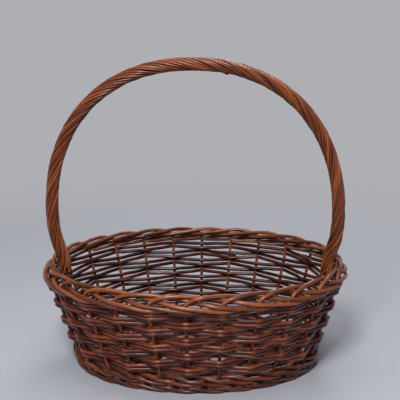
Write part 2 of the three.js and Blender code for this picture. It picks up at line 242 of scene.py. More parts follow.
# Cut ends: slant of the first and the last, then inset and depth of the cut as shares of the radius
CUT_SLANTS = (0.5, -0.6)
CUT_INSET = 0.3
CUT_DEPTH = 0.06

# Bend, in radians for each millimetre, at which the stain is rubbed the most and the painted highlight is
# brightest
FULL_BEND = 0.07
# A rod's inner side, which gets painted shade, begins where it faces outwards by less than this
PAINTED_SHADE_INNER_FROM = 0.5

# Stain and varnish
# Noise along a rod: stretch across, across and along it, scale and detail
STREAKS = ((1.6, 1.6, 0.012), 1.6, 5)
PATCHES = ((0.35, 0.35, 0.03), 1.3, 3)
FINE_GRAIN = ((7.0, 7.0, 0.06), 1.0, 4)
SCARS = ((1.2, 1.2, 0.5), 1.5, 2)
PATCH_SHARE = 0.5
SCAR_SHARE = 0.35
NOISE_SPAN = 40.0
TONE_SPREAD = 0.22
STAIN_PLACES = (0.35, 0.5, 0.66)
# Brightness left on the underside of a rod, where painted shade darkens the side that faces down
UNDERSIDE_PAINTED_SHADE = 0.4
GLOSS_FROM = 0.3
GLOSS_TO = 0.7
SPECULAR = 0.3
VARNISH = 0.14
VARNISH_ROUGHNESS = 0.16
GRAIN_STRENGTH = 0.35
GRAIN_DEPTH_M = 0.0004

# Cut wood
CUT_WOOD_DARK = (0.10, 0.045, 0.02)
CUT_WOOD_PALE = (0.25, 0.13, 0.06)
CUT_WOOD_PLACES = (0.3, 0.7)
CUT_WOOD_GRAIN = 900.0
CUT_WOOD_DETAIL = 3.0
CUT_WOOD_ROUGHNESS = 0.7

# Studio, in metres and watts
FLOOR_MIDDLE = 0.6
FLOOR_RADIUS = 3.0
COVE = 1.2
COVE_STEPS = 8
WALL_TOP = 3.2
FLOOR_TURN_STEPS = 64
MERGE_M = 0.0001
PAPER = (0.41, 0.43, 0.485, 1)
PAPER_ROUGHNESS = 0.9
# Away from the basket the paper glows evenly, as far paper in soft light does
PAPER_GLOW = (0.42, 0.43, 0.455, 1)
GLOW_STRENGTH = 1.0
GLOW_FROM = 0.45
GLOW_FULL = 1.3
WORLD_COLOUR = (0.80, 0.86, 1.0, 1)
WORLD_STRENGTH = 0.05
LAMP_AIM = (0, 0, 0.1)
LAMP_COLOUR = (1.0, 0.98, 0.96)
LAMPS = [
    # name, place, size, power
    ("overhead_lamp", (0, 0.15, 2.0), 1.8, 17),
    ("back_lamp", (0.35, 1.5, 1.35), 0.8, 10),
    ("key_lamp", (-0.15, -1.25, 1.4), 0.5, 30),
]

# Camera, in millimetres and degrees, fitted to the picture at a chosen distance
CAMERA_DISTANCE = 1200
CAMERA_AZIMUTH = 4.225
CAMERA_ELEVATION = 14.184
CAMERA_AIM = (9.43, 0, 244.818)
CAMERA_ROLL = -0.779
FOCAL_PIXELS = 831
IMAGE_PIXELS = 400
SENSOR_MM = 36
CLIP_END_M = 50


def make_camera():
    azimuth = math.radians(CAMERA_AZIMUTH)
    elevation = math.radians(CAMERA_ELEVATION)
    roll = math.radians(CAMERA_ROLL)
    back = Vector((
        math.sin(azimuth) * math.cos(elevation),
        -math.cos(azimuth) * math.cos(elevation),
        math.sin(elevation),
    ))
    right = (-back).cross(Vector((0, 0, 1))).normalized()
    up = right.cross(-back)
    level = Matrix((right, up, back)).transposed()
    turn = Matrix.Rotation(roll, 3, "Z")
    data = bpy.data.cameras.new("camera")
    data.sensor_width = SENSOR_MM
    data.lens = FOCAL_PIXELS * SENSOR_MM / IMAGE_PIXELS
    data.clip_end = CLIP_END_M
    camera = bpy.data.objects.new("camera", data)
    bpy.context.scene.collection.objects.link(camera)
    place = (level @ turn).to_4x4()
    place.translation = (Vector(CAMERA_AIM) + back * CAMERA_DISTANCE) * MM
    camera.matrix_world = place
    bpy.context.scene.camera = camera


make_camera()


# Lines that rods follow: rows of x, y, z and radius in millimetres
def knot_spacing(start, end):
    shortest = 1e-6
    return max(np.linalg.norm(end - start), shortest) ** 0.5


def through(points, steps):
    """Smooth line that passes through every point."""
    points = [np.array(p, float) for p in points]
    points = [2 * points[0] - points[1], *points, 2 * points[-1] - points[-2]]
    line = []
    for a, b, c, d in zip(points, points[1:], points[2:], points[3:]):
        t1 = knot_spacing(a, b)
        t2 = t1 + knot_spacing(b, c)
        t3 = t2 + knot_spacing(c, d)
        for i in range(steps):
            t = t1 + (t2 - t1) * i / steps
            ab = (t1 - t) / t1 * a + t / t1 * b
            bc = (t2 - t) / (t2 - t1) * b + (t - t1) / (t2 - t1) * c
            cd = (t3 - t) / (t3 - t2) * c + (t - t2) / (t3 - t2) * d
            abc = (t2 - t) / t2 * ab + t / t2 * bc
            bcd = (t3 - t) / (t3 - t1) * bc + (t - t1) / (t3 - t1) * cd
            line.append((t2 - t) / (t2 - t1) * abc + (t - t1) / (t2 - t1) * bcd)
    line.append(points[-2])
    return np.array(line)


def evenly(line, step):
    """The same line with its points one step apart."""
    line = np.array(line, float)
    lengths = np.linalg.norm(np.diff(line[:, :3], axis=0), axis=1)
    along = np.concatenate(([0], np.cumsum(lengths)))
    count = max(2, round(along[-1] / step) + 1)
    wanted = np.linspace(0, along[-1], count)
    return np.stack([np.interp(wanted, along, line[:, i]) for i in range(line.shape[1])], 1)


def soften(line, blur):
    """Rounds the corners of an evenly spaced line, with its ends held. Blur is in points."""
    blurs_each_way = 3
    reach = int(math.ceil(blurs_each_way * blur))
    offsets = np.arange(-reach, reach + 1)
    weights = np.exp(-0.5 * (offsets / blur) ** 2)
    weights /= weights.sum()
    before = 2 * line[0] - line[reach:0:-1]
    after = 2 * line[-1] - line[-2:-reach - 2:-1]
    padded = np.concatenate((before, line, after))
    return np.stack([np.convolve(padded[:, i], weights, "valid") for i in range(line.shape[1])], 1)


def bent_rod_line(points, step, blur):
    """Straight between its bends, as a stiff rod is, with the bends rounded. Blur is in millimetres."""
    return soften(evenly(points, step), blur / step)


# Places on the wall. Along it they are counted in stake spacings, u
MIDDLE_LENGTH = (BASE_HALF_LENGTH + RIM_HALF_LENGTH) / 2
MIDDLE_WIDTH = (BASE_HALF_WIDTH + RIM_HALF_WIDTH) / 2
arc_middles = (np.arange(ARC_STEPS) + 0.5) / ARC_STEPS * FULL_TURN
arc_speeds = np.hypot(MIDDLE_LENGTH * np.sin(arc_middles), MIDDLE_WIDTH * np.cos(arc_middles))
arc_lengths = np.concatenate(([0], np.cumsum(arc_speeds)))
arc_angles = np.arange(ARC_STEPS + 1) / ARC_STEPS * FULL_TURN


def angle_at(u):
    lap = math.floor(u / STAKES)
    target = (u / STAKES - lap) * arc_lengths[-1]
    return float(np.interp(target, arc_lengths, arc_angles)) + lap * FULL_TURN


def outward(angle):
    return Vector((math.cos(angle) / MIDDLE_LENGTH, math.sin(angle) / MIDDLE_WIDTH, 0)).normalized()


def wall_half_length(z):
    return BASE_HALF_LENGTH + (RIM_HALF_LENGTH - BASE_HALF_LENGTH) * min(z, BORDER_Z) / BORDER_Z


def wall_half_width(z):
    return BASE_HALF_WIDTH + (RIM_HALF_WIDTH - BASE_HALF_WIDTH) * min(z, BORDER_Z) / BORDER_Z


def wall_point(u, z, reach, radius):
    angle = angle_at(u)
    on_line = Vector((wall_half_length(z) * math.cos(angle), wall_half_width(z) * math.sin(angle), z))
    return (*(on_line + outward(angle) * reach), radius)


def beside_leg(stake):
    """The handle's legs stand beside the two stakes at the ends of the basket."""
    return stake % (STAKES // 2) == 0


# Places on the base. Outwards from the slath to the edge they are counted from 0 to 1, q
def cross_stick_y(x):
    return SLATH_HALF_WIDTH * math.sqrt(1 - (x / SLATH_HALF_LENGTH) ** 2)


def stick_end(u, slath_x, slath_y):
    slath_angle = math.atan2(slath_y / SLATH_HALF_WIDTH, slath_x / SLATH_HALF_LENGTH)
    edge_angle = angle_at(u)
    while edge_angle - slath_angle > math.pi:
        slath_angle += FULL_TURN
    return {"slath": slath_angle, "edge": edge_angle}


slath_end_x = SLATH_HALF_LENGTH * math.sqrt(1 - (LONG_STICK_Y / SLATH_HALF_WIDTH) ** 2)
slath_places = [(slath_end_x, LONG_STICK_Y)]
slath_places += [(x, cross_stick_y(x)) for x in CROSS_STICK_X]
slath_places += [(-slath_end_x, LONG_STICK_Y), (-slath_end_x, -LONG_STICK_Y)]
slath_places += [(x, -cross_stick_y(x)) for x in reversed(CROSS_STICK_X)]
slath_places += [(slath_end_x, -LONG_STICK_Y)]
# Every second gap between stakes has the end of a stick in its middle
stick_ends = [stick_end(2 * i + 0.5, x, y) for i, (x, y) in enumerate(slath_places)]


def base_point(q, angle, z):
    half_length = SLATH_HALF_LENGTH + (BASE_HALF_LENGTH - BASE_EDGE_INSET - SLATH_HALF_LENGTH) * q
    half_width = SLATH_HALF_WIDTH + (BASE_HALF_WIDTH - BASE_EDGE_INSET - SLATH_HALF_WIDTH) * q
    return Vector((half_length * math.cos(angle), half_width * math.sin(angle), z))


def stick_angle(end, q):
    return end["slath"] + (end["edge"] - end["slath"]) * q


# Finishes
class Nodes:
    """Shorthand for adding and linking the nodes of one material."""

    def __init__(self, name):
        self.material = bpy.data.materials.new(name)
        self.material.use_nodes = True
        self.tree = self.material.node_tree
        self.shader = self.tree.nodes["Principled BSDF"]

    def put(self, socket, value):
        if isinstance(value, bpy.types.NodeSocket):
            self.tree.links.new(value, socket)
        else:
            socket.default_value = value

    def add(self, kind, inputs=None, **settings):
        node = self.tree.nodes.new(kind)
        for key, value in settings.items():
            setattr(node, key, value)
        for key, value in (inputs or {}).items():
            self.put(node.inputs[key], value)
        return node

    def feed(self, key, value):
        self.put(self.shader.inputs[key], value)

    def attribute(self, name, output):
        return self.add("ShaderNodeAttribute", attribute_name=name).outputs[output]

    def maths(self, operation, *values):
        return self.add("ShaderNodeMath", dict(enumerate(values)), operation=operation).outputs[0]

    def mix(self, share, first, second):
        return self.add("ShaderNodeMix", {0: share, 2: first, 3: second}).outputs[0]


def grain_noise(nodes, stretched, grain, offset):
    """Noise in the rod's own straightened coordinates, drawn out along it."""
    stretch, scale, detail = grain
    vector = nodes.add("ShaderNodeVectorMath", {0: stretched, 1: stretch}, operation="MULTIPLY")
    noise = nodes.add(
        "ShaderNodeTexNoise",
        {"Vector": vector.outputs[0], "W": offset, "Scale": scale, "Detail": detail},
        noise_dimensions="4D",
    )
    return noise.outputs["Fac"]


def colour_steps(nodes, fac, places, colours):
    ramp = nodes.add("ShaderNodeValToRGB", {"Fac": fac})
    elements = ramp.color_ramp.elements
    while len(elements) < len(places):
        elements.new(0.5)
    for element, place, colour in zip(elements, places, colours):
        element.position = place
        element.color = (*colour, 1)
    return ramp.outputs["Color"]


def stained_willow(name, shade, middle, bright, worn_and_highlit, roughness, inside):
    """Stained and varnished willow, with painted shade on each rod's inner side and underside. Inside is
    how much brightness the painted shade leaves on a rod's inner side.
    """
    nodes = Nodes(name)
    inner = nodes.attribute("inner", "Fac")
    under = nodes.attribute("under", "Fac")
    straight = nodes.attribute("straight", "Vector")
    tone = nodes.attribute("tone", "Fac")
    bend = nodes.attribute("bend", "Fac")

    offset = nodes.maths("MULTIPLY", tone, NOISE_SPAN)
    streaks = grain_noise(nodes, straight, STREAKS, offset)
    patches = grain_noise(nodes, straight, PATCHES, offset)
    fine = grain_noise(nodes, straight, FINE_GRAIN, offset)

    blend = nodes.mix(PATCH_SHARE, streaks, patches)
    varied = nodes.maths("MULTIPLY_ADD", tone, TONE_SPREAD, -TONE_SPREAD / 2)
    level = nodes.maths("ADD", blend, varied)
    stain = colour_steps(nodes, level, STAIN_PLACES, (shade, middle, bright))
    # Lighter colour at sharp bends: stain rubbed there, and a painted highlight on the bumps
    wear_and_highlight = nodes.maths("MULTIPLY", bend, fine)
    rubbed_and_highlit = nodes.add(
        "ShaderNodeMix",
        {"Factor": wear_and_highlight, 6: stain, 7: (*worn_and_highlit, 1)},
        data_type="RGBA",
    ).outputs[2]
    # Painted shade: darker on the rod's inner side, facing into the basket or the handle's core
    painted_inner_shade = nodes.maths("MULTIPLY_ADD", inner, inside - 1, 1.0)
    # Painted shade: darker where the rod faces down
    painted_under_shade = nodes.maths("MULTIPLY_ADD", under, UNDERSIDE_PAINTED_SHADE - 1, 1.0)
    share = nodes.maths("MULTIPLY", painted_inner_shade, painted_under_shade)
    painted_shade_stain = nodes.add("ShaderNodeVectorMath", {0: rubbed_and_highlit, "Scale": share}, operation="SCALE")
    nodes.feed("Base Color", painted_shade_stain.outputs[0])

    gloss = nodes.add("ShaderNodeMapRange", {
        "Value": fine,
        "From Min": GLOSS_FROM,
        "From Max": GLOSS_TO,
        "To Min": roughness[0],
        "To Max": roughness[1],
    })
    nodes.feed("Roughness", gloss.outputs["Result"])
    nodes.feed("Specular IOR Level", SPECULAR)
    nodes.feed("Coat Weight", VARNISH)
    nodes.feed("Coat Roughness", VARNISH_ROUGHNESS)
    scars = grain_noise(nodes, straight, SCARS, offset)
    relief = nodes.mix(SCAR_SHARE, fine, scars)
    bump = nodes.add(
        "ShaderNodeBump", {"Height": relief, "Strength": GRAIN_STRENGTH, "Distance": GRAIN_DEPTH_M}
    )
    nodes.feed("Normal", bump.outputs["Normal"])
    return nodes.material


def cut_wood():
    """Cut end of a rod: bare wood, unevenly brown."""
    nodes = Nodes("cut_willow_end")
    place = nodes.add("ShaderNodeTexCoord").outputs["Object"]
    noise = nodes.add(
        "ShaderNodeTexNoise",
        {"Vector": place, "Scale": CUT_WOOD_GRAIN, "Detail": CUT_WOOD_DETAIL},
    ).outputs["Fac"]
    brown = colour_steps(nodes, noise, CUT_WOOD_PLACES, (CUT_WOOD_DARK, CUT_WOOD_PALE))
    nodes.feed("Base Color", brown)
    nodes.feed("Roughness", CUT_WOOD_ROUGHNESS)
    return nodes.material


border_willow = stained_willow(
    "border_willow",
    shade=(0.050, 0.009, 0.004),
    middle=(0.162, 0.035, 0.009),
    bright=(0.31, 0.086, 0.025),
    worn_and_highlit=(0.36, 0.115, 0.037),
    roughness=(0.22, 0.38),
    inside=0.85,
)
row_willow = stained_willow(
    "row_willow",
    shade=(0.028, 0.004, 0.003),
    middle=(0.102, 0.016, 0.007),
    bright=(0.225, 0.045, 0.014),
    worn_and_highlit=(0.31, 0.078, 0.024),
    roughness=(0.24, 0.42),
    inside=0.36,
)
wale_willow = stained_willow(
    "wale_willow",
    shade=(0.025, 0.004, 0.003),
    middle=(0.088, 0.015, 0.006),
    bright=(0.185, 0.040, 0.014),
    worn_and_highlit=(0.24, 0.066, 0.022),
    roughness=(0.24, 0.42),
    inside=0.5,
)
base_willow = stained_willow(
    "base_willow",
    shade=(0.032, 0.006, 0.004),
    middle=(0.092, 0.019, 0.008),
    bright=(0.18, 0.040, 0.016),
    worn_and_highlit=(0.23, 0.060, 0.024),
    roughness=(0.32, 0.55),
    inside=1.0,
)
handle_willow = stained_willow(
    "handle_willow",
    shade=(0.050, 0.008, 0.003),
    middle=(0.183, 0.040, 0.009),
    bright=(0.34, 0.095, 0.028),
    worn_and_highlit=(0.38, 0.122, 0.039),
    roughness=(0.22, 0.38),
    inside=0.45,
)
cut_end = cut_wood()

# Kinds of rod: their willow, the spacing and sides of their sections, and how far they wander
RodKind = namedtuple("RodKind", "slot look step sides wander")
stake_kind = RodKind(slot="stake", look=border_willow, step=STAKE_STEP, sides=12, wander=0.12)
row_kind = RodKind(slot="row", look=row_willow, step=ROW_STEP, sides=10, wander=0.25)
wale_kind = RodKind(slot="wale", look=wale_willow, step=WALE_STEP, sides=10, wander=0.1)
long_stick_kind = RodKind(slot="base", look=base_willow, step=STICK_STEP, sides=12, wander=0.2)
cross_stick_kind = long_stick_kind._replace(wander=0)
base_rod_kind = RodKind(slot="base", look=base_willow, step=BASE_ROD_STEP, sides=8, wander=0.15)
bow_kind = RodKind(slot="handle", look=handle_willow, step=HANDLE_STEP, sides=12, wander=0)
handle_rod_kind = bow_kind._replace(sides=10, wander=0.08)


# Willow rods
def section_frames(line):
    """Place of each round section along a rod, turned as little as possible from one to the next."""
    steep = 0.9
    points = [Vector(p[:3]) for p in line]
    slants = [CUT_SLANTS[0], *[0] * (len(points) - 2), CUT_SLANTS[1]]
    frames = []
    across = None
    for i, point in enumerate(points):
        before = points[max(i - 1, 0)]
        after = points[min(i + 1, len(points) - 1)]
        tangent = (after - before).normalized()
        if across is None:
            across = Vector((0, 0, 1)) if abs(tangent.z) < steep else Vector((1, 0, 0))
        across = (across - tangent * across.dot(tangent)).normalized()
        side = tangent.cross(across)
        frame_here = Matrix((across + tangent * slants[i], side, tangent)).transposed().to_4x4()
        frame_here = frame_here @ Matrix.Diagonal((line[i][3], line[i][3], line[i][3], 1))
        frame_here.translation = point
        frames.append(Matrix.Scale(MM, 4) @ frame_here)
    return frames


def weathered(line, kind, dice):
    """A rod's own small bends, swellings and bud scars."""
    count = len(line)
    along = np.arange(count) * kind.step
    line = line.copy()
    fade = np.clip(np.minimum(along, along[-1] - along) / STEADY_END, 0, 1)
    for axis in range(3):
        wave = np.zeros(count)
        for length in WANDER_LENGTHS:
            wave += np.sin(FULL_TURN * (along / length + dice.random()))
        line[:, axis] += kind.wander * wave / 2 * fade
    swelling = np.ones(count)
    for length in SWELLING_LENGTHS:
        swelling += SWELLING * np.sin(FULL_TURN * (along / length + dice.random()))
    place = dice.uniform(*SCAR_FIRST)
    while place < along[-1]:
        swelling += SCAR_SWELLING * np.exp(-((along - place) / SCAR_LENGTH) ** 2)
        place += dice.uniform(*SCAR_SPACING)
    line[:, 3] *= swelling
    return line


def bend_strength(line, step):
    """How sharply a rod bends at each of its points, from 0 to 1."""
    turn = np.zeros(len(line))
    way = np.diff(line[:, :3], axis=0)
    way /= np.linalg.norm(way, axis=1)[:, None]
    cosines = np.clip((way[1:] * way[:-1]).sum(1), -1, 1)
    turn[1:-1] = np.arccos(cosines) / step
    return np.clip(turn / FULL_BEND, 0, 1)


def away_from_middle(line):
    """For each point of a rod, the way that leads out of the basket."""
    return [outward(math.atan2(y / MIDDLE_WIDTH, x / MIDDLE_LENGTH)) for x, y, z, radius in line]


def sweep_rod(shape, line, ways_out, kind, tone):
    """Extrudes a round section along the line, closes both cut ends and notes what the stain and its
    painted shade need.
    """
    straight = shape.verts.layers.float_vector.new("straight")
    tones = shape.verts.layers.float.new("tone")
    bends = shape.verts.layers.float.new("bend")
    painted_inner_shades = shape.verts.layers.float.new("inner")
    painted_under_shades = shape.verts.layers.float.new("under")
    frames = section_frames(line)
    bending = bend_strength(line, kind.step)
    ring = bmesh.ops.create_circle(shape, segments=kind.sides, radius=1)["verts"]
    for vert in ring:
        vert[straight] = (vert.co.x, vert.co.y, 0)
        vert[tones] = tone
    first_edges = list(shape.edges)
    edges = first_edges
    bmesh.ops.transform(shape, matrix=frames[0], verts=ring)
    for i in range(1, len(frames)):
        made = bmesh.ops.extrude_edge_only(shape, edges=edges)["geom"]
        ring = [g for g in made if isinstance(g, bmesh.types.BMVert)]
        in_ring = set(ring)
        edges = [
            g for g in made
            if isinstance(g, bmesh.types.BMEdge) and g.verts[0] in in_ring and g.verts[1] in in_ring
        ]
        bmesh.ops.transform(shape, matrix=frames[i] @ frames[i - 1].inverted(), verts=ring)
        for vert in ring:
            vert[straight] = (vert[straight].x, vert[straight].y, i * kind.step)
            vert[bends] = bending[i]
            facing = (vert.co - frames[i].translation).normalized()
            # Painted shade: how far this point faces inwards, away from the way out of the basket or of the
            # handle's core
            vert[painted_inner_shades] = min(max(PAINTED_SHADE_INNER_FROM - facing.dot(ways_out[i]), 0), 1)
            # Painted shade: how far this point faces down, to darken the rod's underside
            vert[painted_under_shades] = max(-facing.z, 0)
    for face in shape.faces:
        face.smooth = True
    radius = line[0][3] * MM
    for rim in (first_edges, edges):
        for edge in rim:
            edge.smooth = False
        cap = bmesh.ops.edgeloop_fill(shape, edges=rim, mat_nr=1)["faces"]
        bmesh.ops.inset_individual(
            shape, faces=cap, thickness=radius * CUT_INSET, depth=radius * CUT_DEPTH
        )
    bmesh.ops.recalc_face_normals(shape, faces=shape.faces)


def willow_piece(kind, name, line, nodes, dice, ways_out=None):
    """One rod as a piece of its own, in the place of the frame's nodes that it stands for."""
    line = weathered(line, kind, dice)
    shape = bmesh.new()
    sweep_rod(shape, line, ways_out or away_from_middle(line), kind, dice.random())
    mesh = bpy.data.meshes.new(name)
    shape.to_mesh(mesh)
    shape.free()
    mesh.materials.append(kind.look)
    mesh.materials.append(cut_end)
    piece = bpy.data.objects.new(name, mesh)
    bpy.context.scene.collection.objects.link(piece)
    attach(piece, "root")
    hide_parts(*nodes)
    return piece


# Stakes: up the wall from the base and over into the border
def stake_points(k):
    end = stick_ends[k // 2]
    side = -1 if k % 2 == 0 else 1
    tail_angle = stick_angle(end, TAIL_Q)
    along = outward(tail_angle)
    across = Vector((-along.y, along.x, 0))
    inner = base_point(TAIL_Q, tail_angle, BASE_Z) + across * (side * TAIL_SIDE)
    points = [(*inner, STAKE_TAIL_R)]
    points += [wall_point(k, z, reach, STAKE_R) for z, reach in STAKE_BENDS]
    points += [
        wall_point(k + step, BORDER_Z + rise, reach, radius)
        for step, reach, rise, radius in BORDER_PATH
    ]
    return points


def stake_line(k):
    points = stake_points(k)
    foot = evenly(points[:FOOT_BENDS + 1], STAKE_STEP)
    rest = through(points[FOOT_BENDS:], BORDER_CURVE_STEPS)
    return soften(evenly(np.concatenate((foot[:-1], rest)), STAKE_STEP), STAKE_BLUR_POINTS)


for k in range(STAKES):
    dice = random.Random(STAKE_SEED + k)
    name = f"stake_rod_{k + 1:02d}"
    willow_piece(stake_kind, name, stake_line(k), [f"stake_{k + 1:02d}"], dice)


# Woven rows
row_dice = random.Random(ROW_LEVEL_SEED)
row_unevenness = [
    [row_dice.uniform(-ROW_UNEVENNESS, ROW_UNEVENNESS) for _ in range(STAKES)]
    for _ in range(ROWS)
]


def is_outside(row, stake):
    return (row + stake) % 2 == 0


def row_reach(row, stake):
    if is_outside(row, stake):
        return ROW_REACH
    tied = beside_leg(stake) and row in LEG_TIED_ROWS
    return -LEG_TIE_REACH if tied else -ROW_REACH


def row_line(row, upper, start):
    """Round the wall once from behind a stake, with the end lapped over the beginning."""
    level = ROW_FIRST_Z + ROW_PITCH * row
    points = []
    for k in range(start, start + STAKES + 1):
        reach = row_reach(row, k % STAKES)
        lift = ROW_LIFT_OUTSIDE if is_outside(row, k % STAKES) else ROW_LIFT_INSIDE
        z = level + (lift if upper else -lift) + row_unevenness[row][k % STAKES]
        bends = (k - ROW_BEND, k + ROW_BEND)
        if k == start:
            bends = (k - ROW_LAP_BEFORE, k + ROW_BEND)
            reach -= LAP_SIDE
        if k == start + STAKES:
            bends = (k - ROW_BEND, k + ROW_LAP_AFTER)
        points += [wall_point(u, z, reach, ROW_ROD_R) for u in bends]
    return bent_rod_line(points, ROW_STEP, ROW_BLUR)


for row in range(ROWS):
    for upper in (False, True):
        dice = random.Random(ROW_SEED + 2 * row + upper)
        inside = [k for k in range(STAKES) if not is_outside(row, k) and not beside_leg(k)]
        start = dice.choice(inside)
        name = f"row_{row + 1:02d}_{'upper' if upper else 'lower'}_rod"
        willow_piece(row_kind, name, row_line(row, upper, start), [f"row_{row + 1:02d}"], dice)


# Wale rods
def wale_line(round_number, rod, start):
    """Round the wall once from inside a stake, with the end lapped over the beginning."""
    levels = WALE_ROUNDS[round_number]
    points = []

    def section(u, z, reach):
        points.append(wall_point(u, z, reach, WALE_R))

    for k in range(start, start + STAKES + 1):
        place = (k + rod) % WALE_RODS
        if place == 0 and k == start:
            section(k - WALE_LAP, levels["inside"], -WALE_REACH - LAP_SIDE)
        elif place == 0:
            section(k, levels["inside"], -WALE_REACH)
        if k == start + STAKES:
            section(k + WALE_LAP, levels["inside"], -WALE_REACH)
            break
        if place == 0:
            for step, z, reach in zip(WALE_CROSSING, levels["coming_out"], WALE_COMING_OUT_REACH):
                section(k + step, z, reach)
        elif place == 1:
            section(k, levels["high"], WALE_REACH)
            section(k + WALE_FALL_START, levels["high"] - WALE_UNDER_HIGH, WALE_REACH)
            section(k + WALE_FALL_END, levels["low"] + WALE_OVER_LOW, WALE_REACH)
        else:
            for step in WALE_LOW_STRETCH:
                section(k + step, levels["low"], WALE_REACH)
            for step, z, reach in zip(WALE_CROSSING, levels["going_in"], WALE_GOING_IN_REACH):
                section(k + step, z, reach)
    return bent_rod_line(points, WALE_STEP, WALE_BLUR)


for round_number in range(len(WALE_ROUNDS)):
    for rod in range(WALE_RODS):
        dice = random.Random(WALE_SEED + WALE_RODS * round_number + rod)
        start = WALE_RODS * dice.randrange(*WALE_FIRST_STARTS) - rod
        number = round_number * WALE_RODS + rod + 1
        line = wale_line(round_number, rod, start)
        willow_piece(wale_kind, f"wale_willow_{number:02d}", line, [f"wale_rod_{number:02d}"], dice)


# Base sticks
def stick_outline(end):
    return [(*base_point(q, stick_angle(end, q), BASE_Z), STICK_R) for q in STICK_SHARES]


def stick_line(first, last):
    points = stick_outline(stick_ends[first])[::-1] + stick_outline(stick_ends[last])
    return soften(evenly(points, STICK_STEP), STICK_BLUR_POINTS)


for number, (first, last) in enumerate(LONG_STICK_ENDS, start=1):
    dice = random.Random(LONG_STICK_SEED + number)
    stands_for = [f"base_stick_long_{number:02d}"]
    willow_piece(long_stick_kind, f"long_stick_{number:02d}", stick_line(first, last), stands_for, dice)


def cut_slot(piece, x):
    """Opens the split that the long sticks pass through."""
    slot = bmesh.new()
    bmesh.ops.create_cube(slot, size=1)
    size = Vector((SLOT_LENGTH, 2 * (LONG_STICK_Y + STICK_R + GAP), 2 * (STICK_R + GAP)))
    bmesh.ops.scale(slot, vec=size * MM, verts=slot.verts)
    bmesh.ops.translate(slot, vec=Vector((x, 0, BASE_Z)) * MM, verts=slot.verts)
    mesh = bpy.data.meshes.new("slot")
    slot.to_mesh(mesh)
    slot.free()
    cutter = bpy.data.objects.new("slot", mesh)
    bpy.context.scene.collection.objects.link(cutter)
    modifier = piece.modifiers.new("slot", "BOOLEAN")
    modifier.operation = "DIFFERENCE"
    modifier.solver = "EXACT"
    modifier.object = cutter
    bpy.context.view_layer.update()
    cut_piece = piece.evaluated_get(bpy.context.evaluated_depsgraph_get())
    split = bpy.data.meshes.new_from_object(cut_piece)
    piece.modifiers.clear()
    piece.data = split
    bpy.data.objects.remove(cutter)


for number, x in enumerate(CROSS_STICK_X, start=1):
    dice = random.Random(CROSS_STICK_SEED + number)
    line = stick_line(len(stick_ends) - 1 - number, number)
    from_middle = np.abs(line[:, 1]) / SPLIT_HALF_LENGTH
    line[:, 3] *= 1 + (SPLIT_SWELL - 1) * np.sqrt(np.clip(SPLIT_STARTS - from_middle, 0, 1))
    stands_for = [f"base_stick_cross_{number:02d}"]
    piece = willow_piece(cross_stick_kind, f"cross_stick_{number:02d}", line, stands_for, dice)
    cut_slot(piece, x)


# Rods wound round the base
def base_rod_line(first_q, first_lift, crossings, apart):
    """Over one stick and under the next, and further out with each crossing."""
    count = len(stick_ends)
    points = []
    for c in range(crossings):
        lap = c // count
        next_lap = (c + 1) // count
        end = stick_ends[c % count]
        next_end = stick_ends[(c + 1) % count]
        lift = first_lift * (1 if c % 2 == 0 else -1) * BASE_LIFT
        for share, level in ((BASE_FLAT, lift), (1 - BASE_FLAT, -lift)):
            q = first_q + BASE_ADVANCE * (c + share) / count
            start_angle = stick_angle(end, q) + lap * FULL_TURN
            stop_angle = stick_angle(next_end, q) + next_lap * FULL_TURN
            angle = start_angle + (stop_angle - start_angle) * share
            place = base_point(q, angle, BASE_Z + level) + outward(angle) * apart
            points.append((*place, BASE_ROD_R))
    return bent_rod_line(points, BASE_ROD_STEP, BASE_ROD_BLUR)


for number, (first_q, first_lift, crossings) in enumerate(BASE_WEAVES, start=1):
    for letter, apart in (("inner", -BASE_ROD_APART), ("outer", BASE_ROD_APART)):
        dice = random.Random(BASE_ROD_SEED + 2 * number + (apart > 0))
        line = base_rod_line(first_q, first_lift, crossings, apart)
        name = f"base_rod_{number:02d}_{letter}"
        willow_piece(base_rod_kind, name, line, [f"base_weave_{number:02d}"], dice)


# Handle
def arch_point(share):
    angle = share * math.pi / 2
    x = ARCH_HALF_SPAN * max(math.cos(angle), 0) ** (2 / ARCH_POWER)
    z = ARCH_SPRING_Z + ARCH_RISE * math.sin(angle) ** (2 / ARCH_POWER)
    return Vector((x, 0, z))


def leg_point(z, reach):
    return Vector((wall_half_length(z) - reach, 0, z))


def bow_line():
    right = [leg_point(LEG_FOOT_Z, LEG_REACH)]
    right += [leg_point(ROW_FIRST_Z + ROW_PITCH * row, LEG_REACH + inward) for row, inward in LEG_ROW_BENDS]
    right += [leg_point(BORDER_Z + above, LEG_REACH + inward) for above, inward in LEG_RIM_BENDS]
    right += [Vector((ARCH_HALF_SPAN - inward, 0, ARCH_SPRING_Z - under)) for under, inward in ARCH_BENDS]
    right += [arch_point(share) for share in ARCH_SHARES]
    left = [Vector((-p.x, 0, p.z)) for p in right]
    points = [(*p, BOW_R) for p in (*left, arch_point(1), *reversed(right))]
    return evenly(through(points, HANDLE_CURVE_STEPS), HANDLE_STEP)


handle_line = bow_line()
handle_along = np.arange(len(handle_line)) * HANDLE_STEP
handle_ways = np.gradient(handle_line[:, :3], axis=0)
handle_ways /= np.linalg.norm(handle_ways, axis=1)[:, None]
willow_piece(bow_kind, "handle_bow", handle_line, ["handle_core"], random.Random(BOW_SEED))


